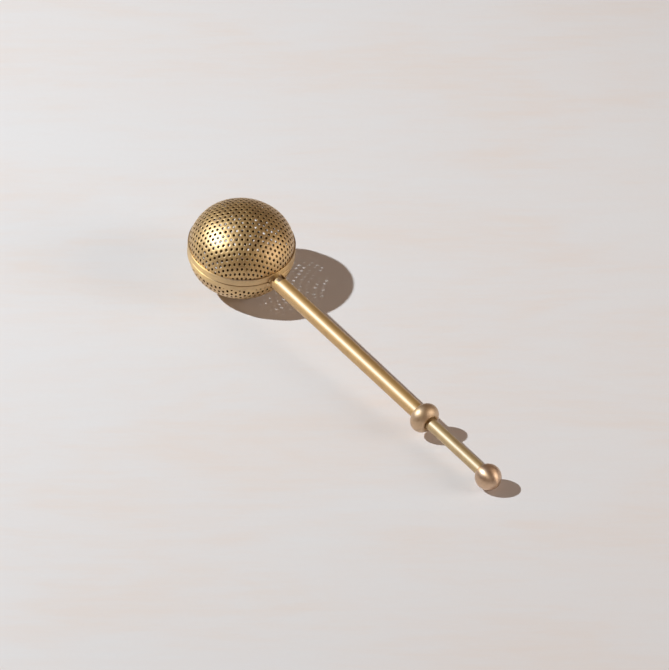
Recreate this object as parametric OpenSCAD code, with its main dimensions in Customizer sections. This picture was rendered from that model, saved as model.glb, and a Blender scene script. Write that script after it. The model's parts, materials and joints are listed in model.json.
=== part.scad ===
// Tea infuser: a perforated brass ball in two halves on a long handle.
// Pushing the end knob towards the grip collar slides the upper half of the
// ball away from the handle, over the lower half; a spring closes it again.
// Frame of the modules: origin at the ball's centre, X along the handle,
// Z square to the plane where the two halves meet. place() lays the object
// down on its lower dome and its knob.

/* [Ball] */
// Outer radius of the plain bands round the ball
rim_r = 24; // [23.8:0.1:24.6]
// Thickness of the plain bands
rim_wall = 0.6; // [0.6:0.05:0.8]
// Height of the upper band
upper_rim_h = 3.5; // [3.2:0.1:3.6]
// Height of the lower band
lower_rim_h = 2.8; // [2.8:0.1:3.2]
// Height of each half, from the meeting plane to the top of its dome
half_h = 20.1; // [19.6:0.1:20.4]
// Radius of the dome's shoulder
shoulder_r = 13.5; // [13:0.1:14]
// Sheet thickness of the domes
dome_wall = 0.6; // [0.6:0.05:0.8]
// Gap between the two bands
rim_gap = 0.24; // [0.2:0.02:0.3]

/* [Perforation] */
// Distance from hole to hole in the sheet
hole_pitch = 4.6; // [4.4:0.1:6]
// Diameter of the holes
hole_d = 2; // [1.6:0.1:2.2]

/* [Handle] */
// Outer diameter of the handle tube
tube_d = 7.05; // [7:0.05:7.3]
// Bore of the handle tube
tube_bore = 6.3; // [6.25:0.05:6.35]
// Where the slot in the top of the tube ends
slot_end = 28.7; // [28.4:0.1:29]
// Half the width of that slot
slot_w = 2.8; // [2.75:0.05:2.9]
// Diameter of the round part of the push rod
rod_d = 5.5; // [5.4:0.05:5.6]
// Radius of the half-round front of the push rod
tongue_r = 2.2; // [2.1:0.05:2.25]
// Where the half-round front ends and the round part begins
shoulder_x = 95; // [93:0.5:98]

/* [Collar and knob] */
// Centre of the grip collar
collar_x = 128.2; // [127.7:0.1:128.7]
// Outer diameter of the grip collar
collar_d = 13.8; // [13.4:0.1:14.2]
// Radius of the rounding of the collar
collar_round = 4.1; // [4:0.05:4.2]
// Centre of the end knob
knob_x = 171.3; // [171.1:0.1:173.6]
// Diameter of the end knob
knob_d = 11.6; // [11.2:0.1:12]

/* [Spring] */
// Wire diameter of the return spring
wire_d = 0.5; // [0.4:0.05:0.5]
// Number of turns of the return spring
spring_turns = 24; // [18:1:26]

/* [Hidden] */

$fn = 96;

satin = [0.66, 0.52, 0.31];
polished = [0.80, 0.66, 0.38];
rosy = [0.67, 0.51, 0.37];
steel = [0.72, 0.73, 0.75];

// ---- ball: a spherical cap runs into a round shoulder and a straight skirt
dome_r = rim_r - rim_wall;                 // outer radius of the skirt
skirt_h = 2.5;                             // height of the skirt
core_r = dome_r - shoulder_r;              // where the shoulder's circle is centred
cup = half_h - skirt_h;                    // rise of the dome above the skirt
cap_r = (pow(core_r, 2) - pow(cup - shoulder_r, 2)) / (2 * (cup - shoulder_r)) + cup;
cap_z = half_h - cap_r;                    // height of the cap's centre, below 0
cap_a = atan2(core_r, skirt_h - cap_z);    // polar angle where cap meets shoulder
arc_cap = cap_r * cap_a * PI / 180;        // arc length over the cap
arc_all = arc_cap + shoulder_r * (90 - cap_a) * PI / 180;
edge_c = 0.25;                             // chamfer on the bands' edges
half_gap = rim_gap / 2;

// ---- resting attitude: lower dome and knob both touch the table
knob_r = knob_d / 2;
tilt = asin((cap_r - knob_r) / norm([knob_x, cap_z])) - atan2(-cap_z, knob_x);
lift = cap_r + cap_z * cos(tilt);
x_far = knob_x * cos(tilt) + knob_r;
x_near = -(rim_r * cos(tilt) + (lower_rim_h - edge_c) * sin(tilt));

module place() {
    translate([-(x_far + x_near) / 2, 0, lift]) rotate([0, tilt, 0]) children();
}
// a bar along X: from x0 to x1
module bar(x0, x1, r) {
    translate([x0, 0, 0]) rotate([0, 90, 0]) cylinder(r = r, h = x1 - x0);
}

// ---- perforated dome, opening downwards; t is how far inside the outer skin
module dome_solid(t) {
    translate([0, 0, -2]) cylinder(r = dome_r - t, h = skirt_h + 2);
    rotate_extrude() intersection() {
        translate([core_r, skirt_h]) circle(r = shoulder_r - t, $fn = 128);
        translate([0, skirt_h]) square([dome_r + 1, half_h]);
    }
    translate([0, 0, skirt_h - 1]) cylinder(r = core_r, h = shoulder_r - t + 1);
    intersection() {
        translate([0, 0, cap_z]) sphere(r = cap_r - t, $fn = 192);
        translate([0, 0, skirt_h]) cylinder(r = (cap_r - t) * sin(cap_a), h = half_h);
    }
}
// place on the dome at arc length s from its top: [radius, height, polar angle]
function on_dome(s) = s < arc_cap
    ? let(a = s / cap_r * 180 / PI) [cap_r * sin(a), cap_z + cap_r * cos(a), a]
    : let(a = cap_a + (s - arc_cap) / shoulder_r * 180 / PI)
      [core_r + shoulder_r * sin(a), skirt_h + shoulder_r * cos(a), a];
hole_n = ceil(arc_all / hole_pitch) + 1;
hole_top = arc_all - hole_d / 2 - 1.2;
holes = [for (j = [-hole_n:hole_n], i = [-hole_n:hole_n])
         let(u = (i + j / 2) * hole_pitch, v = j * hole_pitch * sqrt(3) / 2, s = norm([u, v]))
         if (s < hole_top) [s, atan2(v, u)]];

module strainer_dome() {
    difference() {
        dome_solid(0);
        dome_solid(dome_wall);
        translate([0, 0, -50 + half_gap]) cube([100, 100, 100], center = true);
        for (h = holes) let(p = on_dome(h[0]))
            rotate([0, 0, h[1]]) translate([p[0], 0, p[1]]) rotate([0, p[2], 0])
                translate([0, 0, -dome_wall - 0.5])
                    cylinder(d = hole_d, h = dome_wall + 1, $fn = 16);
    }
}
module lower_strainer_dome() {
    color(satin) place() mirror([0, 0, 1]) strainer_dome();
}
module upper_strainer_dome() {
    color(satin) place() strainer_dome();
}

// ---- plain band round the foot of a dome, its edges broken
module band(h) {
    rotate_extrude($fn = 128)
        polygon([[dome_r, half_gap], [rim_r - edge_c, half_gap], [rim_r, half_gap + edge_c],
                 [rim_r, h - edge_c], [rim_r - edge_c, h], [dome_r, h]]);
}
module lower_rim_ring() { color(polished) place() mirror([0, 0, 1]) band(lower_rim_h); }
module upper_rim_ring() { color(polished) place() band(upper_rim_h); }

// ---- handle tube, coped to the lower band, with a slot in its top; it ends
// just inside the mouth of the collar
tube_end = collar_x + 3.9;
module handle_tube() {
    color(polished) place() difference() {
        bar(20, tube_end, tube_d / 2);
        bar(19, tube_end + 1, tube_bore / 2);
        translate([0, 0, -10]) cylinder(r = rim_r, h = 20);
        // room for the upper band, and the slot that its lug leaves through
        translate([0, 0, -half_gap]) cylinder(r = rim_r + 0.3, h = 10);
        translate([15, -slot_w, -half_gap]) cube([slot_end - 15, 2 * slot_w, 10]);
    }
}
// ---- braze fillets on both sides of the tube, against the lower band
module braze_fillets() {
    color(polished) place() difference() {
        translate([22, 0, 0]) rotate([0, 90, 0]) cylinder(r1 = tube_d / 2 + 1.1, r2 = tube_d / 2 + 0.3, h = 5);
        bar(19, 40, tube_d / 2);
        translate([0, 0, -10]) cylinder(r = rim_r, h = 20);
        translate([0, -20, -half_gap]) cube([60, 40, 20]);
        translate([0, -20, -lower_rim_h - 20]) cube([60, 40, 20]);
    }
}
// ---- half-round space above the meeting plane, of radius r
module half_round(x0, x1, r, z0) {
    intersection() {
        bar(x0, x1, r);
        translate([x0 - 1, -10, z0]) cube([x1 - x0 + 2, 20, 20]);
    }
}
// ---- lug between the upper band and the rod's half-round front; its back
// face rests on the front bush when the ball is closed
lug_r = 2.7;
bush_start = slot_end + 0.2;
bush_len = 8;
bush_end = bush_start + bush_len;
module ring_lug() {
    color(polished) place() difference() {
        half_round(20, bush_start - 0.02, lug_r, half_gap);
        translate([0, 0, -10]) cylinder(r = rim_r, h = 20);
        half_round(24.4, bush_start + 1, tongue_r, half_gap - 1);
    }
}
module front_guide_bush() {
    color(satin) place() difference() {
        bar(bush_start, bush_end, tube_bore / 2);
        half_round(bush_start - 1, bush_end + 1, tongue_r + 0.05, half_gap - 0.05);
    }
}
module push_rod() {
    color(polished) place() difference() {
        union() {
            bar(shoulder_x, knob_x - 4.6, rod_d / 2);
            half_round(24.4, shoulder_x, tongue_r, half_gap);
        }
        // tapped end for the knob's stud
        bar(knob_x - 12, knob_x, 1.5);
    }
}
washer_x = shoulder_x - 0.8;
module spring_washer() {
    color(steel) place() difference() {
        bar(washer_x, shoulder_x, 2.95);
        bar(washer_x - 1, shoulder_x + 1, tongue_r + 0.05);
    }
}
// ---- return spring: a compression spring round the rod's half-round front,
// between the front bush and the washer, with a closed turn at each end
spring_x0 = bush_end;
spring_len = washer_x - bush_end;
spring_r = tube_bore / 2 - 0.2 - wire_d / 2;
function spring_at(k) = let(n = spring_turns, e = 1.5, f = spring_len - wire_d * 1.05)
    wire_d * 0.525 + (k < e ? wire_d * 1.02 * k
        : k > n - e ? f - wire_d * 1.02 * (n - k)
        : wire_d * 1.02 * e + (f - 2 * wire_d * 1.02 * e) * (k - e) / (n - 2 * e));
module return_spring() {
    seg = 14;      // rings to a turn
    sides = 6;     // sides of the wire
    rings = seg * spring_turns;
    pts = [for (i = [0:rings]) let(k = i / seg, a = 360 * k, x = spring_x0 + spring_at(k))
           for (s = [0:sides - 1]) let(b = 360 * s / sides, r = spring_r + wire_d / 2 * cos(b))
           [x + wire_d / 2 * sin(b), r * cos(a), r * sin(a)]];
    faces = concat(
        [[for (s = [0:sides - 1]) s]],
        [for (i = [0:rings - 1], s = [0:sides - 1]) let(t = (s + 1) % sides)
            [i * sides + s, (i + 1) * sides + s, (i + 1) * sides + t]],
        [for (i = [0:rings - 1], s = [0:sides - 1]) let(t = (s + 1) % sides)
            [i * sides + s, (i + 1) * sides + t, i * sides + t]],
        [[for (s = [sides - 1:-1:0]) rings * sides + s]]);
    color(steel) place() polyhedron(points = pts, faces = faces, convexity = 10);
}
module rear_guide_bush() {
    color(satin) place() difference() {
        bar(tube_end - 15.6, tube_end - 1.6, tube_bore / 2);
        bar(tube_end - 16, tube_end, rod_d / 2 + 0.05);
    }
}
// ---- grip collar: a round bead on the end of the tube
module grip_collar() {
    color(rosy) place() translate([collar_x, 0, 0]) rotate([0, 90, 0]) difference() {
        union() {
            rotate_extrude($fn = 128) intersection() {
                translate([collar_d / 2 - collar_round, 0]) circle(r = collar_round);
                translate([0, -10]) square([20, 20]);
            }
            cylinder(r = collar_d / 2 - collar_round, h = 2 * collar_round, center = true);
        }
        translate([0, 0, -10]) cylinder(r = tube_d / 2, h = 20);
    }
}
module end_knob() {
    color(rosy) place() translate([knob_x, 0, 0]) rotate([0, 90, 0]) rotate_extrude($fn = 128)
        difference() {
            intersection() {
                circle(r = knob_r, $fn = 128);
                translate([0, -10]) square([20, 20]);
            }
            translate([-1, -20]) square([rod_d / 2 + 1, 20 - 4.6]);
            translate([-1, -10]) square([1.5 + 1, 12]);
        }
}
module knob_stud() {
    color(steel) place() bar(knob_x - 12, knob_x + 2, 1.5);
}

lower_strainer_dome();
lower_rim_ring();
upper_strainer_dome();
upper_rim_ring();
ring_lug();
braze_fillets();
handle_tube();
front_guide_bush();
return_spring();
spring_washer();
push_rod();
rear_guide_bush();
grip_collar();
end_knob();
knob_stud();
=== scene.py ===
import json
import math

import bmesh
import bpy
import numpy as np
from mathutils import Matrix, Vector


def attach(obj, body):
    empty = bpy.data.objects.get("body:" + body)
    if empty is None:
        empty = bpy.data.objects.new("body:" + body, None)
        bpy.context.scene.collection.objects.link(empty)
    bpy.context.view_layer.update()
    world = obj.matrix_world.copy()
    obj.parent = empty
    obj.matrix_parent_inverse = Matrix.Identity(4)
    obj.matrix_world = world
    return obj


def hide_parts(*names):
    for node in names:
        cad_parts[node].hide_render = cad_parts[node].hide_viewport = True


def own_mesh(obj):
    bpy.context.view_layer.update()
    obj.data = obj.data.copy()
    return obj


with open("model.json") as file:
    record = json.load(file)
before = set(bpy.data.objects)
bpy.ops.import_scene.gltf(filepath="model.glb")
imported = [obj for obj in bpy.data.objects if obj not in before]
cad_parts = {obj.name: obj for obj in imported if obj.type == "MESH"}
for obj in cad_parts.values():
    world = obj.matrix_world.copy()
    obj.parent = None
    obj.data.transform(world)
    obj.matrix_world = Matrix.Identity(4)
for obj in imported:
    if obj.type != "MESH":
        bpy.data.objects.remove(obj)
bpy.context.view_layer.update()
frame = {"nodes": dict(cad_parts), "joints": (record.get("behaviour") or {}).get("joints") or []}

# ---------------------------------------------------------------- frame of the handle
# The infuser lies on its lower dome and its knob. In its own frame x runs along the
# handle from the ball's centre and z is square to the plane between the two halves.
AX = Vector(frame["joints"][0]["axis"]).normalized()
TILT = math.asin(AX.z)
ROT = Matrix.Rotation(TILT, 4, "Y")


def verts_of(node):
    o = frame["nodes"][node]
    co = np.empty(len(o.data.vertices) * 3, np.float32)
    o.data.vertices.foreach_get("co", co)
    return co.reshape(-1, 3).astype(float)


R3 = np.array(ROT.to_3x3())


def raw_box(node):
    v = verts_of(node) @ R3            # rotates by the inverse of ROT
    return v.min(0), v.max(0)


_ul, _uh = raw_box("upper_rim_ring")
_ll, _lh = raw_box("lower_rim_ring")
CEN = np.array([(_ul[0] + _uh[0]) / 2, (_ul[1] + _uh[1]) / 2, (_ul[2] + _lh[2]) / 2])
PLACE = ROT.copy()
PLACE.translation = Vector(R3 @ CEN)


def lbox(node):
    """Box of a CAD node in the handle's frame, in mm from the ball's centre."""
    lo, hi = raw_box(node)
    return (lo - CEN) * 1000, (hi - CEN) * 1000


MM = 0.001
RIM_R = float(_uh[0] - _ul[0]) * 500
HALF_GAP = float(_ul[2] - _lh[2]) * 500
UP_H = float(lbox("upper_rim_ring")[1][2])
LO_H = float(-lbox("lower_rim_ring")[0][2])
DOME_R = float(lbox("upper_strainer_dome")[1][1])
HALF_H = float(lbox("upper_strainer_dome")[1][2])
TUBE_LO, TUBE_HI = lbox("handle_tube")
TUBE_R = float(TUBE_HI[1])
TUBE_END = float(TUBE_HI[0])
LUG_LO, LUG_HI = lbox("ring_lug")
ROD_LO, ROD_HI = lbox("push_rod")
ROD_R = float(ROD_HI[1])
COL_LO, COL_HI = lbox("grip_collar")
KNOB_LO, KNOB_HI = lbox("end_knob")
KNOB_R = float(KNOB_HI[1])
KNOB_X = float(KNOB_HI[0]) - KNOB_R
COL_X = float(COL_LO[0] + COL_HI[0]) / 2
COL_R = float(COL_HI[1])
BUSH_LO, BUSH_HI = lbox("front_guide_bush")
BORE_R = float(BUSH_HI[1])
SPR_LO, SPR_HI = lbox("return_spring")
RBUSH_LO, RBUSH_HI = lbox("rear_guide_bush")
WASH_LO, WASH_HI = lbox("spring_washer")
SLOT_X = float(BUSH_LO[0]) - 0.2
SLOT_W = 2.8

# ---------------------------------------------------------------- camera
PX_W, PX_H = 669, 670
ELEV, AZ, DIST, SCALE = math.radians(41.7142), math.radians(-51.1625), 2.621, 2.2561
BALL_PX = (240.95 + 0.5, 247.78 + 0.5)
cam_right = Vector((math.cos(AZ), -math.sin(AZ), 0))
cam_away = Vector((math.sin(AZ), math.cos(AZ), 0))
cam_up = cam_away * math.sin(ELEV) + Vector((0, 0, 1)) * math.cos(ELEV)
cam_back = -cam_away * math.cos(ELEV) + Vector((0, 0, 1)) * math.sin(ELEV)
ball = PLACE.translation.copy()
xb = (BALL_PX[0] - PX_W / 2) / SCALE * MM
yb = -(BALL_PX[1] - PX_H / 2) / SCALE * MM
cam = bpy.data.cameras.new("camera")
cam.sensor_fit = "HORIZONTAL"
cam.sensor_width = 36.0
cam.lens = SCALE * DIST * 1000 / PX_W * 36.0
cam.clip_start, cam.clip_end = 0.05, 50
cam_ob = bpy.data.objects.new("camera", cam)
bpy.context.scene.collection.objects.link(cam_ob)
m = Matrix((cam_right, cam_up, cam_back)).transposed().to_4x4()
m.translation = ball - cam_right * xb - cam_up * yb + cam_back * DIST
cam_ob.matrix_world = m
bpy.context.scene.camera = cam_ob

# ---------------------------------------------------------------- materials
def nt(mat):
    mat.use_nodes = True
    t = mat.node_tree
    t.nodes.clear()
    return t


class Tree:
    def __init__(self, name):
        self.mat = bpy.data.materials.new(name)
        self.t = nt(self.mat)
        self.out = self.t.nodes.new("ShaderNodeOutputMaterial")
        self.bsdf = self.t.nodes.new("ShaderNodeBsdfPrincipled")
        self.t.links.new(self.bsdf.outputs[0], self.out.inputs[0])
        self.coord = self.t.nodes.new("ShaderNodeTexCoord").outputs["Object"]

    def node(self, kind, **kw):
        n = self.t.nodes.new(kind)
        for k, v in kw.items():
            setattr(n, k, v)
        return n

    def link(self, a, b):
        self.t.links.new(a, b)

    def mapping(self, scale, src=None, loc=(0, 0, 0)):
        n = self.node("ShaderNodeMapping")
        self.link(src or self.coord, n.inputs["Vector"])
        n.inputs["Scale"].default_value = scale
        n.inputs["Location"].default_value = loc
        return n.outputs[0]

    def noise(self, scale, detail=3.0, rough=0.5, src=None, distortion=0.0):
        n = self.node("ShaderNodeTexNoise")
        self.link(src or self.coord, n.inputs["Vector"])
        n.inputs["Scale"].default_value = scale
        n.inputs["Detail"].default_value = detail
        n.inputs["Roughness"].default_value = rough
        n.inputs["Distortion"].default_value = distortion
        return n.outputs["Fac"]

    def ramp(self, fac, stops):
        n = self.node("ShaderNodeValToRGB")
        self.link(fac, n.inputs[0])
        e = n.color_ramp.elements
        e[0].position, e[0].color = stops[0][0], (*stops[0][1], 1)
        e[1].position, e[1].color = stops[-1][0], (*stops[-1][1], 1)
        for p, c in stops[1:-1]:
            x = e.new(p)
            x.color = (*c, 1)
        return n.outputs[0]

    def remap(self, fac, a, b, c, d):
        n = self.node("ShaderNodeMapRange")
        self.link(fac, n.inputs["Value"])
        n.inputs["From Min"].default_value = a
        n.inputs["From Max"].default_value = b
        n.inputs["To Min"].default_value = c
        n.inputs["To Max"].default_value = d
        return n.outputs[0]

    def math(self, op, a, b=None):
        n = self.node("ShaderNodeMath", operation=op)
        for i, v in enumerate((a, b)):
            if v is None:
                continue
            if isinstance(v, (int, float)):
                n.inputs[i].default_value = v
            else:
                self.link(v, n.inputs[i])
        return n.outputs[0]

    def mix(self, fac, a, b, blend="MIX"):
        n = self.node("ShaderNodeMix", data_type="RGBA", blend_type=blend)
        for i, v in ((0, fac), (6, a), (7, b)):
            if isinstance(v, (int, float)):
                n.inputs[i].default_value = v
            elif isinstance(v, tuple):
                n.inputs[i].default_value = (*v, 1)
            else:
                self.link(v, n.inputs[i])
        return n.outputs[2]

    def bump(self, height, distance, strength=1.0, normal=None):
        n = self.node("ShaderNodeBump")
        self.link(height, n.inputs["Height"])
        n.inputs["Distance"].default_value = distance
        n.inputs["Strength"].default_value = strength
        if normal is not None:
            self.link(normal, n.inputs["Normal"])
        return n.outputs[0]


def brass(name, light, mid, dark, rough, rough_span, turn=None, turn_bump=0.0,
          pits=0.0, waves=0.0, aniso=0.0, around=None, spot_scale=160.0, edge=0.0, seed=0.0,
          coat=None):
    """Procedural metal: blotchy patina in the colour, uneven polish, turned or drawn
    lines (turn = "x" along the handle, "rx" round the handle, "rz" round the ball), pits."""
    t = Tree(name)
    b = t.bsdf
    b.inputs["Metallic"].default_value = 1.0
    shift = t.mapping((1, 1, 1), loc=(seed, seed * 1.7, -seed))
    blotch = t.noise(spot_scale, 4.0, 0.6, src=shift, distortion=0.4)
    fine = t.noise(spot_scale * 9, 3.0, 0.6, src=shift)
    both = t.math("ADD", t.math("MULTIPLY", blotch, 0.72), t.math("MULTIPLY", fine, 0.28))
    col = t.ramp(both, [(0.34, dark), (0.5, mid), (0.66, light)])
    # partly rubbed edges, partly a painted highlight: convex edges and hole rims are mixed towards a lighter
    # colour
    if edge > 0:
        geo = t.node("ShaderNodeNewGeometry")
        e = t.remap(geo.outputs["Pointiness"], 0.505, 0.56, 0.0, edge)
        col = t.mix(e, col, tuple(min(1.0, c * 1.25 + 0.04) for c in light))
    t.link(col, b.inputs["Base Color"])
    if coat is not None:
        b.inputs["Coat Weight"].default_value = coat[0]
        b.inputs["Coat Roughness"].default_value = coat[1]
        b.inputs["Coat IOR"].default_value = coat[2]
    rr = t.math("ADD", t.math("MULTIPLY", blotch, 0.5), t.math("MULTIPLY", fine, 0.5))
    rough_out = t.remap(rr, 0.32, 0.68, rough - rough_span, rough + rough_span)
    lines = None
    if turn == "x":
        lines = t.noise(1.0, 3.0, 0.65, src=t.mapping((60, 2600, 2600)))
    elif turn in ("rx", "rz"):
        sep = t.node("ShaderNodeSeparateXYZ")
        t.link(t.coord, sep.inputs[0])
        along = sep.outputs[0] if turn == "rx" else sep.outputs[2]
        u, v = (sep.outputs[1], sep.outputs[2]) if turn == "rx" else (sep.outputs[0], sep.outputs[1])
        rad = t.math("SQRT", t.math("ADD", t.math("MULTIPLY", u, u), t.math("MULTIPLY", v, v)))
        comb = t.node("ShaderNodeCombineXYZ")
        t.link(t.math("MULTIPLY", along, 3200.0), comb.inputs[0])
        t.link(t.math("MULTIPLY", rad, 3200.0), comb.inputs[1])
        t.link(t.math("MULTIPLY", t.math("ARCTAN2", u, v), 0.9), comb.inputs[2])
        lines = t.noise(1.0, 3.0, 0.65, src=comb.outputs[0])
    if lines is not None:
        rough_out = t.math("ADD", rough_out, t.remap(lines, 0.3, 0.7, -rough_span * 0.5, rough_span * 0.5))
    t.link(rough_out, b.inputs["Roughness"])
    n = None
    if waves > 0:
        n = t.bump(t.noise(120.0, 2.0, 0.4, src=shift), waves * MM, 1.0)
    if lines is not None and turn_bump > 0:
        n = t.bump(lines, turn_bump * MM, 1.0, n)
    if pits > 0:
        p = t.remap(t.noise(2600.0, 2.0, 0.7, src=shift), 0.35, 0.65, 0.0, 1.0)
        n = t.bump(p, pits * MM, 1.0, n)
    if n is not None:
        t.link(n, b.inputs["Normal"])
    if aniso:
        # drawn lines spread the light round the piece, turned lines spread it along the piece
        b.inputs["Anisotropic"].default_value = aniso
        b.inputs["Anisotropic Rotation"].default_value = 0.0 if turn == "x" else 0.25
        tan = t.node("ShaderNodeTangent", direction_type="RADIAL", axis=around)
        t.link(tan.outputs[0], b.inputs["Tangent"])
    return t.mat


M_DOME = brass("dome_brass", (0.70, 0.455, 0.160), (0.60, 0.375, 0.118), (0.41, 0.23, 0.060),
               0.53, 0.06, pits=0.006, waves=0.02, spot_scale=150, edge=0.6, seed=0.3,
               coat=(1.0, 0.46, 2.0))
# painted shade: a much darker brass for the inside of the domes and the hole walls
M_PAINTED_SHADE = brass("inner_painted_shade", (0.24, 0.13, 0.046), (0.16, 0.085, 0.030), (0.09, 0.045, 0.016),
                0.55, 0.06, pits=0.004, spot_scale=150, seed=8.8)
M_BAND = brass("band_brass", (0.72, 0.465, 0.155), (0.64, 0.405, 0.118), (0.50, 0.30, 0.072),
               0.54, 0.05, turn="rz", turn_bump=0.002, pits=0.002, waves=0.02, aniso=0.7, around="Z",
               edge=0.4, seed=1.1, coat=(1.0, 0.60, 2.4))
M_TUBE = brass("tube_brass", (0.64, 0.40, 0.130), (0.60, 0.37, 0.115), (0.52, 0.305, 0.085),
               0.70, 0.03, turn="x", turn_bump=0.0005, pits=0.0005, waves=0.006,
               seed=2.3, coat=(1.0, 0.47, 2.05))
M_ROD = brass("rod_brass", (0.60, 0.425, 0.185), (0.55, 0.385, 0.165), (0.48, 0.315, 0.125),
              0.70, 0.03, turn="x", turn_bump=0.0005, pits=0.0005, waves=0.005,
              seed=3.7, coat=(1.0, 0.47, 2.05))
M_BEAD = brass("bead_brass", (0.72, 0.495, 0.32), (0.66, 0.445, 0.275), (0.53, 0.345, 0.195),
               0.50, 0.05, turn="rx", turn_bump=0.002, pits=0.002, waves=0.01, aniso=0.7, around="X",
               edge=0.4, seed=4.9, coat=(1.0, 0.40, 1.7))
M_COLLAR = brass("collar_brass", (0.66, 0.455, 0.255), (0.60, 0.405, 0.22), (0.48, 0.31, 0.15),
                 0.54, 0.05, turn="rx", turn_bump=0.002, pits=0.002, waves=0.01, aniso=0.4, around="X",
                 edge=0.4, seed=7.9, coat=(1.0, 0.46, 1.9))
M_BUSH = brass("bush_brass", (0.70, 0.54, 0.30), (0.62, 0.46, 0.24), (0.48, 0.34, 0.16),
               0.36, 0.06, turn="rx", turn_bump=0.004, pits=0.002, seed=5.5)
M_STEEL = brass("spring_steel", (0.66, 0.66, 0.65), (0.58, 0.58, 0.57), (0.44, 0.44, 0.43),
                0.30, 0.06, turn="rx", turn_bump=0.002, pits=0.002, seed=6.1)

# ---------------------------------------------------------------- mesh helpers
def make(name, verts, faces, mat, body, replaces=(), smooth=True, place=True):
    me = bpy.data.meshes.new(name)
    v = np.asarray(verts, float) * MM
    me.from_pydata([tuple(p) for p in v], [], [tuple(f) for f in faces])
    me.validate(clean_customdata=False)
    bm = bmesh.new()
    bm.from_mesh(me)
    bmesh.ops.remove_doubles(bm, verts=bm.verts, dist=1e-7)
    bmesh.ops.recalc_face_normals(bm, faces=bm.faces)
    bm.to_mesh(me)
    bm.free()
    me.materials.append(mat)
    if smooth:
        me.polygons.foreach_set("use_smooth", [True] * len(me.polygons))
    o = bpy.data.objects.new(name, me)
    bpy.context.scene.collection.objects.link(o)
    if place:
        o.matrix_world = PLACE
    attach(o, body)
    if replaces:
        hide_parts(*replaces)
    return o


def fillet(profile, radii, n=5):
    """Rounds the corners of a closed polygon [(a, b), ...] in its plane."""
    out = []
    k = len(profile)
    for i, p in enumerate(profile):
        r = radii[i]
        p = np.array(p, float)
        a = np.array(profile[i - 1], float) - p
        b = np.array(profile[(i + 1) % k], float) - p
        la, lb = np.linalg.norm(a), np.linalg.norm(b)
        a, b = a / la, b / lb
        if r <= 0:
            out.append(tuple(p))
            continue
        ang = math.acos(max(-1, min(1, float(a @ b))))
        d = min(r / math.tan(ang / 2), la * 0.49, lb * 0.49)
        rr = d * math.tan(ang / 2)
        c = p + (a + b) / np.linalg.norm(a + b) * (rr / math.sin(ang / 2))
        s, e = p + a * d, p + b * d
        a0 = math.atan2(*(s - c)[::-1])
        a1 = math.atan2(*(e - c)[::-1])
        while a1 - a0 > math.pi:
            a1 -= 2 * math.pi
        while a1 - a0 < -math.pi:
            a1 += 2 * math.pi
        for j in range(n + 1):
            q = a0 + (a1 - a0) * j / n
            out.append((c[0] + rr * math.cos(q), c[1] + rr * math.sin(q)))
    return out


def lathe(profile, segs, axis="z", closed=True, shape=None):
    """Turns a profile [(r, h), ...] round the axis. shape(r, h, a) may move a point a little."""
    verts, faces, rings = [], [], []
    for (r, h) in profile:
        if r < 1e-6:
            rings.append([len(verts)])
            verts.append((0, 0, h) if axis == "z" else (h, 0, 0))
            continue
        ids = []
        for s in range(segs):
            a = 2 * math.pi * s / segs
            rr, hh = shape(r, h, a) if shape else (r, h)
            ids.append(len(verts))
            c, d = rr * math.cos(a), rr * math.sin(a)
            verts.append((c, d, hh) if axis == "z" else (hh, c, d))
        rings.append(ids)
    k = len(rings)
    for i in range(k if closed else k - 1):
        A, B = rings[i], rings[(i + 1) % k]
        if len(A) == 1 and len(B) == 1:
            continue
        for s in range(segs):
            t = (s + 1) % segs
            if len(A) == 1:
                faces.append((A[0], B[s], B[t]))
            elif len(B) == 1:
                faces.append((A[s], B[0], A[t]))
            else:
                faces.append((A[s], B[s], B[t], A[t]))
    return verts, faces


# ---------------------------------------------------------------- the perforated domes
# The profile is a quarter ellipse over a short straight skirt.
SKIRT = 2.59
RISE = HALF_H - SKIRT
_t = np.linspace(0, math.pi / 2, 1201)
_r, _z = DOME_R * np.sin(_t), SKIRT + RISE * np.cos(_t)
_arc = np.concatenate([[0], np.cumsum(np.hypot(np.diff(_r), np.diff(_z)))])
ARC_ALL = float(_arc[-1])
WALL = 0.45


def dome_point(s, phi, t, dent):
    """Point t mm under the skin at arc length s from the top and polar angle phi."""
    s = np.asarray(s, float)
    q = np.interp(np.minimum(s, ARC_ALL), _arc, _t)
    side = np.maximum(s - ARC_ALL, 0)
    n_r, n_z = np.sin(q) / DOME_R, np.cos(q) / RISE
    n = np.hypot(n_r, n_z)
    d = dent(s, phi) - t
    r = DOME_R * np.sin(q) + d * n_r / n
    z = SKIRT + RISE * np.cos(q) - side + d * n_z / n
    return np.stack([r * np.cos(phi), r * np.sin(phi), z], -1)


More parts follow.
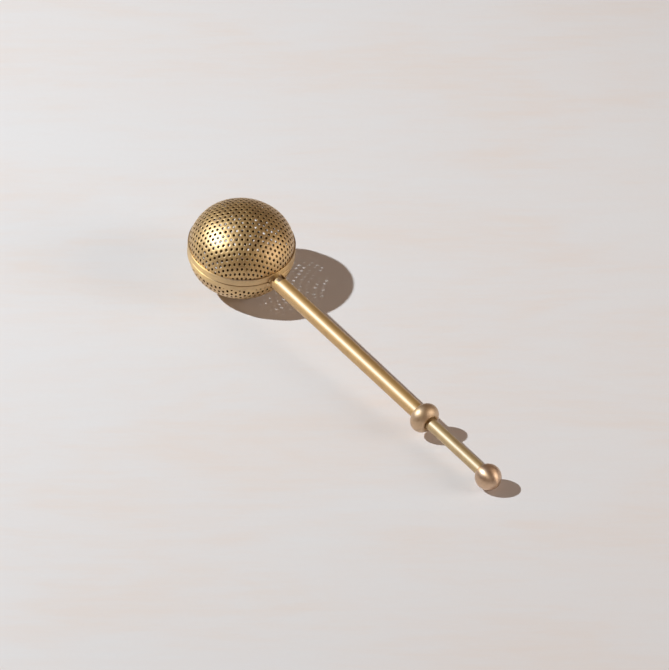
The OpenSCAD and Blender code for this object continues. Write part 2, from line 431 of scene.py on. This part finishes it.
def strainer(pitch, turn, off, stretch, hole_r, core_r, dent, seed, segs=18):
    """A sheet punched with holes in a hexagonal pattern and drawn into a dome.
    The sheet is made flat, cell by cell, and then laid on the dome."""
    rng = np.random.default_rng(seed)
    s_end = ARC_ALL + SKIRT - HALF_GAP

    def lay(u, v, t):
        c, s_ = math.cos(turn), math.sin(turn)
        U, V = u * c - v * s_, u * s_ + v * c
        rho = np.hypot(U, V)
        return dome_point(np.minimum(rho * (1 + stretch * (rho / 30) ** 2), s_end),
                          np.arctan2(V, U), t, dent)

    lo, hi = 0.0, 60.0
    for _ in range(60):
        mid = (lo + hi) / 2
        if mid * (1 + stretch * (mid / 30) ** 2) < s_end:
            lo = mid
        else:
            hi = mid
    rho_end = lo
    n = int(rho_end / pitch) + 6
    # hexagon outline, three points to an edge
    corners = [(pitch / math.sqrt(3) * math.cos(math.radians(30 + 60 * k)),
                pitch / math.sqrt(3) * math.sin(math.radians(30 + 60 * k))) for k in range(6)]
    per = segs // 6
    hexa = []
    for k in range(6):
        a, b = np.array(corners[k]), np.array(corners[(k + 1) % 6])
        for j in range(per):
            hexa.append(a + (b - a) * j / per)
    hexa = np.array(hexa)
    ang = np.arctan2(hexa[:, 1], hexa[:, 0])
    uv, tt, keys = [], [], {}

    def shared(p):
        key = (round(p[0] * 2000), round(p[1] * 2000))
        for dx in (-1, 0, 1):
            for dy in (-1, 0, 1):
                q = (key[0] + dx, key[1] + dy)
                if q in keys:
                    return keys[q]
        i = len(uv)
        uv.append((p[0], p[1])); tt.append(0.0)
        uv.append((p[0], p[1])); tt.append(WALL)
        keys[key] = i
        return i

    faces = []
    rings = [(0.20, 0.0), (0.06, 0.022), (0.0, 0.065), (0.0, WALL - 0.08), (0.05, WALL)]
    on_edge = set()
    for j in range(-n, n + 1):
        for i in range(-n, n + 1):
            cx, cy = (i + j / 2) * pitch + off[0], j * pitch * math.sqrt(3) / 2 + off[1]
            rc = math.hypot(cx, cy)
            if rc > rho_end + pitch:
                continue
            pts = hexa + (cx, cy)
            rr = np.hypot(pts[:, 0], pts[:, 1])
            inside = rr < rho_end - 1e-6
            if not inside.any():
                continue
            if inside.all():
                loop, ang_o, full = [shared(p) for p in pts], ang, True
            else:
                poly, edge = [], []
                for a in range(segs):
                    p, q = pts[a], pts[(a + 1) % segs]
                    ip, iq = inside[a], inside[(a + 1) % segs]
                    if ip:
                        poly.append(p); edge.append(False)
                    if ip != iq:
                        l0, l1 = 0.0, 1.0
                        for _ in range(40):
                            lm = (l0 + l1) / 2
                            im = np.hypot(*(p + (q - p) * lm)) < rho_end
                            if im == ip:
                                l0 = lm
                            else:
                                l1 = lm
                        poly.append(p + (q - p) * l1); edge.append(True)
                loop = []
                for p, e in zip(poly, edge):
                    k = shared(p)
                    if e:
                        on_edge.add(k)
                    if not loop or loop[-1] != k:
                        loop.append(k)
                if len(loop) > 1 and loop[0] == loop[-1]:
                    loop.pop()
                if len(loop) < 3:
                    continue
                full = False
                ang_o = np.array([math.atan2(uv[k][1] - cy, uv[k][0] - cx) for k in loop])
            fits = rc + hole_r + 0.5 < rho_end
            if not fits:
                faces.append(tuple(loop))
                faces.append(tuple(k + 1 for k in reversed(loop)))
                continue
            hr = (hole_r if rc > 0.68 * rho_end else core_r) * (1 + rng.normal(0, 0.018))
            jx, jy = rng.normal(0, 0.02, 2)
            base = []
            for dr, t in rings:
                ids = []
                for a in ang:
                    ids.append(len(uv))
                    uv.append((cx + jx + (hr + dr) * math.cos(a), cy + jy + (hr + dr) * math.sin(a)))
                    tt.append(t)
                base.append(ids)
            for A, B in zip(base[:-1], base[1:]):
                for a in range(segs):
                    b = (a + 1) % segs
                    faces.append((A[a], A[b], B[b], B[a]))
            if full:
                for a in range(segs):
                    b = (a + 1) % segs
                    faces.append((loop[a], loop[b], base[0][b], base[0][a]))
                    faces.append((base[-1][a], base[-1][b], loop[b] + 1, loop[a] + 1))
            else:
                # join two loops round the same centre by their angles
                def stitch(outer, ao, inner, ai, flip):
                    no, ni = len(outer), len(inner)
                    o0 = int(np.argmin(ao)); i0 = int(np.argmin(ai))
                    O = [outer[(o0 + k) % no] for k in range(no)]
                    AO = [ao[(o0 + k) % no] for k in range(no)]
                    I = [inner[(i0 + k) % ni] for k in range(ni)]
                    AI = [ai[(i0 + k) % ni] for k in range(ni)]
                    AO.append(AO[0] + 2 * math.pi); AI.append(AI[0] + 2 * math.pi)
                    a = b = 0
                    while a < no or b < ni:
                        go_o = b >= ni or (a < no and AO[a + 1] <= AI[b + 1])
                        if go_o:
                            f = (O[a], O[(a + 1) % no], I[b % ni]); a += 1
                        else:
                            f = (O[a % no], I[(b + 1) % ni], I[b]); b += 1
                        faces.append(f if not flip else tuple(reversed(f)))
                stitch(loop, ang_o, base[0], ang, False)
                stitch([k + 1 for k in loop], ang_o, base[-1], ang, True)
    # the sheet's own edge, at the foot of the skirt
    count = {}
    for f in faces:
        for a, b in zip(f, f[1:] + f[:1]):
            count[(a, b)] = count.get((a, b), 0) + 1
    for (a, b) in list(count):
        if a in on_edge and b in on_edge and (b, a) not in count:
            faces.append((b, a, a + 1, b + 1))
    uv, tt = np.array(uv), np.array(tt)
    return lay(uv[:, 0], uv[:, 1], tt), faces


def hand_dents(seed, amount, spots=()):
    """Slow unevenness of a thin drawn sheet, with a few shallow dents (x, y, radius, depth)."""
    rng = np.random.default_rng(seed)
    k = rng.uniform(0.10, 0.32, (7, 2)) * rng.choice([-1, 1], (7, 2))
    ph = rng.uniform(0, 2 * math.pi, 7)

    def f(s, phi):
        s, phi = np.asarray(s, float), np.asarray(phi, float)
        x, y = s * np.cos(phi), s * np.sin(phi)
        d = sum(np.sin(k[i, 0] * x + k[i, 1] * y + ph[i]) for i in range(7)) / 7 * amount
        for cx, cy, r, dep in spots:
            q = ((x - cx) ** 2 + (y - cy) ** 2) / r ** 2
            d = d - dep * np.exp(-q)
        return d * np.clip((ARC_ALL - 1.0 - s) / 5.0, 0, 1)
    return f


PITCH, TURN, OFF, STRETCH = 2.446, math.radians(52.85), (0.663, 2.346), 0.0493
def paint_shade_inside(o):
    """The inner face and the lower part of the hole walls get a much darker brass, as painted shade inside the
    ball.
    """
    me = o.data
    me.materials.append(M_PAINTED_SHADE)
    me.polygons.foreach_set("material_index", [
        1 if p.normal.dot(p.center.normalized()) < 0.25 else 0 for p in me.polygons])
    me.update()


v, f = strainer(PITCH, TURN, OFF, STRETCH, 0.62, 0.62, hand_dents(5, 0.12), 11)
paint_shade_inside(make("upper_perforated_dome", v, f, M_DOME, "slider", ["upper_strainer_dome"]))
v, f = strainer(PITCH, math.radians(13.1), (0.832, 1.394), 0.185, 0.60, 0.50, hand_dents(9, 0.08), 12)
v = np.array(v) * (1, 1, -1)
paint_shade_inside(make("lower_perforated_dome", v, f, M_DOME, "handle", ["lower_strainer_dome"]))

# ---------------------------------------------------------------- plain bands
def band(height, seed):
    inner = DOME_R + 0.01
    prof = [(inner, HALF_GAP), (RIM_R, HALF_GAP), (RIM_R, height), (inner, height)]
    prof = fillet(prof, [0.08, 0.34, 0.26, 0.08], 6)
    rng = np.random.default_rng(seed)
    ph = rng.uniform(0, 2 * math.pi, 4)

    def shape(r, h, a):
        w = 0.018 * math.sin(3 * a + ph[0]) + 0.012 * math.sin(5 * a + ph[1])
        if r > inner + 0.3:
            r += w
        return min(r, RIM_R + 0.03), h
    return lathe(prof, 192, "z", True, shape)


v, f = band(UP_H, 3)
make("upper_plain_band", v, f, M_BAND, "slider", ["upper_rim_ring"])
v, f = band(LO_H, 4)
v = np.array(v) * (1, 1, -1)
make("lower_plain_band", v, f, M_BAND, "handle", ["lower_rim_ring"])

# ---------------------------------------------------------------- handle tube with its notch
def tube_solid():
    """The tube as one closed wall of full rings; the notch is cut from it afterwards."""
    bm = bmesh.new()
    segs = 96
    r_o, r_i = TUBE_R, BORE_R
    x0 = RIM_R - 1.0
    xs = [x0, SLOT_X + 1] + list(np.linspace(SLOT_X + 4, TUBE_END - 1, 30)) + [TUBE_END]
    rows = []
    for r in (r_o, r_i):
        g = []
        for x in xs:
            g.append([bm.verts.new((x, r * math.cos(2 * math.pi * s / segs), r * math.sin(2 * math.pi * s / segs))) for s in range(segs)])
        rows.append(g)
    for g, flip in ((rows[0], False), (rows[1], True)):
        for a, b in zip(g[:-1], g[1:]):
            for s in range(segs):
                t = (s + 1) % segs
                q = (a[s], a[t], b[t], b[s])
                bm.faces.new(q if not flip else tuple(reversed(q)))
    for e in (0, -1):
        for s in range(segs):
            t = (s + 1) % segs
            bm.faces.new((rows[0][e][s], rows[0][e][t], rows[1][e][t], rows[1][e][s]))
    bmesh.ops.recalc_face_normals(bm, faces=bm.faces)
    me = bpy.data.meshes.new("tube_work")
    bm.to_mesh(me); bm.free()
    return me


def bool_cut(me, cutters, name):
    """Cuts a mesh with closed cutter meshes and returns the new mesh."""
    o = bpy.data.objects.new(name + "_work", me)
    bpy.context.scene.collection.objects.link(o)
    tools = []
    for i, cm in enumerate(cutters):
        c = bpy.data.objects.new("%s_tool%d" % (name, i), cm)
        bpy.context.scene.collection.objects.link(c)
        md = o.modifiers.new("b%d" % i, "BOOLEAN")
        md.operation = "DIFFERENCE"
        md.solver = "EXACT"
        md.object = c
        tools.append(c)
    bpy.context.view_layer.update()
    dg = bpy.context.evaluated_depsgraph_get()
    out = bpy.data.meshes.new_from_object(o.evaluated_get(dg))
    for x in tools + [o]:
        bpy.data.objects.remove(x)
    return out


def cyl_mesh(r, h0, h1, segs, axis):
    v, f = lathe([(0, h0), (r, h0), (r, h1), (0, h1)], segs, axis, False)
    me = bpy.data.meshes.new("c")
    me.from_pydata(v, [], f)
    bm = bmesh.new(); bm.from_mesh(me)
    bmesh.ops.recalc_face_normals(bm, faces=bm.faces)
    bm.to_mesh(me); bm.free()
    return me


def box_mesh(lo, hi):
    me = bpy.data.meshes.new("b")
    bm = bmesh.new()
    bmesh.ops.create_cube(bm, size=1.0)
    for w in bm.verts:
        w.co = Vector([lo[i] + (hi[i] - lo[i]) * (w.co[i] + 0.5) for i in range(3)])
    bmesh.ops.recalc_face_normals(bm, faces=bm.faces)
    bm.to_mesh(me); bm.free()
    return me


def finish_mesh(me, name, mat, body, replaces=(), bevel=0.0, segs=2, angle=35, scale=True):
    bm = bmesh.new()
    bm.from_mesh(me)
    bmesh.ops.remove_doubles(bm, verts=bm.verts, dist=1e-5)
    if scale:
        bmesh.ops.scale(bm, vec=(MM, MM, MM), verts=bm.verts)
    bm.to_mesh(me)
    bm.free()
    me.materials.clear()
    me.materials.append(mat)
    me.polygons.foreach_set("material_index", [0] * len(me.polygons))
    me.polygons.foreach_set("use_smooth", [True] * len(me.polygons))
    o = bpy.data.objects.new(name, me)
    bpy.context.scene.collection.objects.link(o)
    if bevel > 0:
        md = o.modifiers.new("bevel", "BEVEL")
        md.width = bevel * MM
        md.segments = segs
        md.limit_method = "ANGLE"
        md.angle_limit = math.radians(angle)
        md.harden_normals = True
    wn = o.modifiers.new("normals", "WEIGHTED_NORMAL")
    wn.keep_sharp = True
    o.matrix_world = PLACE
    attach(o, body)
    if replaces:
        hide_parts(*replaces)
    return o


me = bool_cut(tube_solid(), [box_mesh((RIM_R - 3, -SLOT_W, -HALF_GAP), (SLOT_X, SLOT_W, 8)),
                             box_mesh((RIM_R - 3, -6, -HALF_GAP), (RIM_R + 0.8, 6, 8)),
                             cyl_mesh(RIM_R + 0.02, -9, 8.5, 256, "z")], "tube")
finish_mesh(me, "slotted_tube", M_TUBE, "handle", ["handle_tube"], bevel=0.08)

# ---------------------------------------------------------------- braze fillets and lug
def half_round_mesh(x0, x1, r, z0, segs=40):
    """A bar along x, round above z0 and flat below."""
    a0 = math.asin(min(1, z0 / r))
    a = np.linspace(a0, math.pi - a0, segs + 1)
    prof = [(r * math.cos(q), r * math.sin(q)) for q in a]
    k = len(prof)
    v = [(x0, y, z) for y, z in prof] + [(x1, y, z) for y, z in prof]
    f = [tuple(reversed(range(k))), tuple(range(k, 2 * k))]
    for i in range(k):
        j = (i + 1) % k
        f.append((i, j, k + j, k + i))
    me = bpy.data.meshes.new("h")
    me.from_pydata(v, [], f)
    bm = bmesh.new(); bm.from_mesh(me)
    bmesh.ops.recalc_face_normals(bm, faces=bm.faces)
    bm.to_mesh(me); bm.free()
    return me


LUG_R = float(LUG_HI[1])
TONGUE_R = 2.2


def lug():
    """Neck that sweeps down and in from the upper band to the notch in the tube."""
    x1 = float(LUG_HI[0])
    z0 = HALF_GAP - 0.02
    xs = [RIM_R - 0.5, RIM_R - 0.25, RIM_R - 0.1] + list(np.linspace(RIM_R, RIM_R + 1.2, 9))
    xs += list(np.linspace(RIM_R + 1.4, x1 - 0.1, 12)) + [x1]
    v, f, k = [], [], 41
    for x in xs:
        u = min(1.0, max(0.0, (x - RIM_R) / (x1 - RIM_R)))
        ra = LUG_R - 0.06 + 0.84 * max(0.0, 1 - max(x - RIM_R, 0) / 0.85) ** 1.4
        rb = 2.35 + (UP_H - 0.08 - 2.35) * (1 - u) ** 1.6
        if x > x1 - 0.05:
            ra, rb = ra - 0.1, rb - 0.1
        a0 = math.asin(z0 / rb)
        for q in np.linspace(a0, math.pi - a0, k):
            v.append((x, ra * math.cos(q), rb * math.sin(q)))
    n = len(xs)
    for i in range(n - 1):
        for j in range(k):
            j2 = (j + 1) % k
            f.append((i * k + j, i * k + j2, (i + 1) * k + j2, (i + 1) * k + j))
    f.append(tuple(range(k)))
    f.append(tuple((n - 1) * k + j for j in reversed(range(k))))
    return v, f


v, f = lug()
o = make("ring_lug_neck", v, f, M_BAND, "slider", ["ring_lug"])
md = o.modifiers.new("sharp", "EDGE_SPLIT")
md.split_angle = math.radians(50)


def braze(side):
    """A concave bead of braze in the corner between the tube and the lower band."""
    z0, z1 = -LO_H + 0.12, -HALF_GAP - 0.05
    n, k = 14, 8
    v, f = [], []
    for i in range(n + 1):
        z = z0 + (z1 - z0) * i / n
        yt = math.sqrt(max(TUBE_R ** 2 - z * z, 0.01))        # the tube's side at this height
        xr = math.sqrt(RIM_R ** 2 - yt ** 2)
        w = 0.95 * (0.55 + 0.45 * math.sin(math.pi * (i + 0.6) / (n + 1.2)))
        root = (xr - 0.05, yt - 0.05)
        p0 = (math.sqrt(RIM_R ** 2 - (yt + w) ** 2) - 0.02, yt + w)
        p1 = (xr + w * 1.15, yt - 0.02)
        row = [root, p0]
        for j in range(1, k):
            t = j / k
            # quadratic curve pulled in towards the corner
            cx, cy = xr + w * 0.22, yt + w * 0.20
            x = (1 - t) ** 2 * p0[0] + 2 * t * (1 - t) * cx + t * t * p1[0]
            y = (1 - t) ** 2 * p0[1] + 2 * t * (1 - t) * cy + t * t * p1[1]
            row.append((x, y))
        row.append(p1)
        for x, y in row:
            v.append((x, side * y, z))
    m_ = k + 2
    for i in range(n):
        for j in range(m_):
            j2 = (j + 1) % m_
            f.append((i * m_ + j, i * m_ + j2, (i + 1) * m_ + j2, (i + 1) * m_ + j))
    f.append(tuple(range(m_)))
    f.append(tuple(n * m_ + j for j in reversed(range(m_))))
    return v, f


va, fa = braze(1)
vb, fb = braze(-1)
make("braze_beads", va + vb, fa + [tuple(i + len(va) for i in q) for q in fb], M_BAND, "handle",
     ["braze_fillets"])

# ---------------------------------------------------------------- push rod
def rod():
    xs, xe = float(WASH_HI[0]), float(ROD_HI[0])
    round_part = lathe(fillet([(0, xs), (ROD_R, xs), (ROD_R, xe), (0, xe)], [0, 0.12, 0.12, 0], 4), 96, "x", False)
    return round_part, xs, xe


(rv, rf), xs, xe = rod()
me = bpy.data.meshes.new("rod_round")
me.from_pydata([tuple(p) for p in rv], [], rf)
t_me = half_round_mesh(float(ROD_LO[0]), xs + 0.3, TONGUE_R, HALF_GAP, 48)
bm = bmesh.new()
bm.from_mesh(me)
bmesh.ops.recalc_face_normals(bm, faces=bm.faces)
bm.to_mesh(me)
bm.free()
o1 = bpy.data.objects.new("r1", me)
o2 = bpy.data.objects.new("r2", t_me)
for o in (o1, o2):
    bpy.context.scene.collection.objects.link(o)
md = o1.modifiers.new("u", "BOOLEAN")
md.operation, md.solver, md.object = "UNION", "EXACT", o2
bpy.context.view_layer.update()
rod_me = bpy.data.meshes.new_from_object(o1.evaluated_get(bpy.context.evaluated_depsgraph_get()))
bpy.data.objects.remove(o1)
bpy.data.objects.remove(o2)
finish_mesh(rod_me, "push_rod_with_tongue", M_ROD, "slider", ["push_rod"], bevel=0.07, angle=40)

# ---------------------------------------------------------------- collar and knob
rr = float(COL_HI[0] - COL_LO[0]) / 2
bead_r = math.sqrt(0 + 4.1 ** 2)
core = COL_R - bead_r
hole = TUBE_R + 0.02
prof = []
a_hole = math.acos(max(-1, min(1, (hole + 0.22 - core) / bead_r)))
for a in np.linspace(-a_hole, a_hole, 60):
    prof.append((core + bead_r * math.cos(a), COL_X + bead_r * math.sin(a)))
x_lip = bead_r * math.sin(a_hole)
lip = [(hole + 0.06, COL_X + x_lip - 0.03), (hole, COL_X + x_lip - 0.16)]
lip2 = [(hole, COL_X - x_lip + 0.16), (hole + 0.06, COL_X - x_lip + 0.03)]
inner = [(hole, COL_X + (x_lip - 0.16) * q) for q in np.linspace(0.8, -0.8, 6)]
v, f = lathe(prof + lip + inner + lip2, 128, "x", True)
make("grip_collar_bead", v, f, M_COLLAR, "handle", ["grip_collar"])

# knob: a turned ball with a small seat round the rod
seat = ROD_R + 0.02
a0 = math.asin((seat + 0.16) / KNOB_R)
prof = [(0, KNOB_X - KNOB_R + 1.4), (seat, KNOB_X - KNOB_R + 1.4), (seat, KNOB_X - KNOB_R * math.cos(a0) + 0.14),
        (seat + 0.05, KNOB_X - KNOB_R * math.cos(a0) + 0.03)]
for a in np.linspace(a0, math.pi, 64):
    prof.append((KNOB_R * math.sin(a) if a < math.pi - 1e-9 else 0, KNOB_X - KNOB_R * math.cos(a)))
v, f = lathe(prof, 128, "x", False)
make("end_knob_ball", v, f, M_BEAD, "slider", ["end_knob"])

# ---------------------------------------------------------------- return spring (inside the tube)
def spring():
    turns, seg, sides = 24, 30, 10
    wire = 0.25
    r = float(SPR_HI[1]) - wire
    x0, x1 = float(SPR_LO[0]) + wire * 1.05, float(SPR_HI[0]) - wire * 1.05
    L = x1 - x0
    e, dead = 1.5, 2 * wire * 1.02

    def at(k):
        if k < e:
            return dead * k
        if k > turns - e:
            return L - dead * (turns - k)
        return dead * e + (L - 2 * dead * e) * (k - e) / (turns - 2 * e)
    v, f = [], []
    n = turns * seg
    for i in range(n + 1):
        k = i / seg
        a = 2 * math.pi * k
        for s in range(sides):
            b = 2 * math.pi * s / sides
            q = r + wire * math.cos(b)
            v.append((x0 + at(k) + wire * math.sin(b), q * math.cos(a), q * math.sin(a)))
    for i in range(n):
        for s in range(sides):
            t = (s + 1) % sides
            f.append((i * sides + s, (i + 1) * sides + s, (i + 1) * sides + t, i * sides + t))
    f.append(tuple(range(sides)))
    f.append(tuple(n * sides + s for s in reversed(range(sides))))
    return v, f


v, f = spring()
o = make("return_spring_coil", v, f, M_STEEL, "handle", ["return_spring"])
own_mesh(o)

# ---------------------------------------------------------------- hidden CAD pieces keep their shape
for node, mat in (("front_guide_bush", M_BUSH), ("rear_guide_bush", M_BUSH),
                  ("spring_washer", M_STEEL), ("knob_stud", M_STEEL)):
    o = frame["nodes"][node]
    o.data.materials.clear()
    o.data.materials.append(mat)

# ---------------------------------------------------------------- floor and light
me = bpy.data.meshes.new("floor")
S = 3.0
me.from_pydata([(-S, -S, 0), (S, -S, 0), (S, S, 0), (-S, S, 0)], [], [(0, 1, 2, 3)])
floor = bpy.data.objects.new("floor", me)
bpy.context.scene.collection.objects.link(floor)
t = Tree("floor_plaster")
big = t.noise(1.0, 5.0, 0.62, distortion=0.5, src=t.mapping((7.0, 20.0, 1.0), loc=(3.1, 0.4, 0)))
streak = t.noise(1.0, 4.0, 0.65, src=t.mapping((26.0, 190.0, 1.0)))
small = t.noise(420.0, 3.0, 0.6)
both = t.math("ADD", t.math("MULTIPLY", big, 0.68), t.math("MULTIPLY", streak, 0.32))
col = t.ramp(both, [(0.39, (0.795, 0.762, 0.752)), (0.50, (0.798, 0.748, 0.728)), (0.63, (0.804, 0.720, 0.675))])
col = t.mix(t.remap(small, 0.3, 0.7, 0.0, 0.10), col, (0.74, 0.705, 0.69))
# painted light falloff: the floor colour is scaled from 0.94 to 1.05 across the floor, lighter towards one side
sep = t.node("ShaderNodeSeparateXYZ")
t.link(t.coord, sep.inputs[0])
painted_falloff = t.math("ADD", t.math("MULTIPLY", sep.outputs[0], 0.30), t.math("MULTIPLY", sep.outputs[1], 0.16))
painted_falloff = t.remap(painted_falloff, -0.06, 0.06, 0.94, 1.05)
painted_falloff_scale = t.node("ShaderNodeVectorMath", operation="SCALE")
t.link(col, painted_falloff_scale.inputs[0])
t.link(painted_falloff, painted_falloff_scale.inputs["Scale"])
col = painted_falloff_scale.outputs[0]
t.link(col, t.bsdf.inputs["Base Color"])
t.link(t.remap(small, 0.3, 0.7, 0.65, 0.8), t.bsdf.inputs["Roughness"])
t.bsdf.inputs["Specular IOR Level"].default_value = 0.25
t.link(t.bump(small, 0.0001, 0.5), t.bsdf.inputs["Normal"])
me.materials.append(t.mat)
floor.rotation_euler.z = math.pi / 2 - (math.pi / 2 + AZ)


def area(name, direction, dist, size, power, color=(1, 1, 1), target=None, size_y=None, shape="RECTANGLE"):
    L = bpy.data.lights.new(name, "AREA")
    L.shape = shape
    L.size = size
    if shape in ("RECTANGLE", "ELLIPSE"):
        L.size_y = size_y or size
    L.energy = power
    L.color = color
    o = bpy.data.objects.new(name, L)
    d = Vector(direction).normalized()
    tgt = Vector(target or (0, 0, 0))
    o.location = tgt + d * dist
    o.rotation_euler = d.to_track_quat("Z", "Y").to_euler()
    bpy.context.scene.collection.objects.link(o)
    return o


def direc(right, away, up):
    return cam_right * right + cam_away * away + Vector((0, 0, 1)) * up


key_az, key_el = math.radians(3.06), math.radians(47.44)
key_dir = direc(-math.cos(key_el) * math.cos(key_az), math.cos(key_el) * math.sin(key_az), math.sin(key_el))
area("key", key_dir, 1.374, 0.034, 21.6, (0.845, 0.935, 0.99), target=tuple(ball), shape="DISK")
area("card_right", direc(0.92, -0.20, 0.36), 1.2, 0.55, 5.2, (1.0, 0.93, 0.86), size_y=0.7)

world = bpy.data.worlds.new("studio")
bpy.context.scene.world = world
world.use_nodes = True
wt = world.node_tree
wt.nodes.clear()
wo = wt.nodes.new("ShaderNodeOutputWorld")
bg = wt.nodes.new("ShaderNodeBackground")
wc = wt.nodes.new("ShaderNodeTexCoord")
dot = wt.nodes.new("ShaderNodeVectorMath")
dot.operation = "DOT_PRODUCT"
dot.inputs[1].default_value = tuple((-cam_right * 0.8 + Vector((0, 0, 0.6))).normalized())
wt.links.new(wc.outputs["Generated"], dot.inputs[0])
wr = wt.nodes.new("ShaderNodeMapRange")
wr.inputs["From Min"].default_value = -1
wr.inputs["From Max"].default_value = 1
wr.inputs["To Min"].default_value = 0.8
wr.inputs["To Max"].default_value = 1.2
wt.links.new(dot.outputs["Value"], wr.inputs["Value"])
bg.inputs[0].default_value = (0.130, 0.084, 0.057, 1)
wt.links.new(wr.outputs[0], bg.inputs[1])
wt.links.new(bg.outputs[0], wo.inputs[0])
bpy.context.scene.view_settings.view_transform = "Standard"
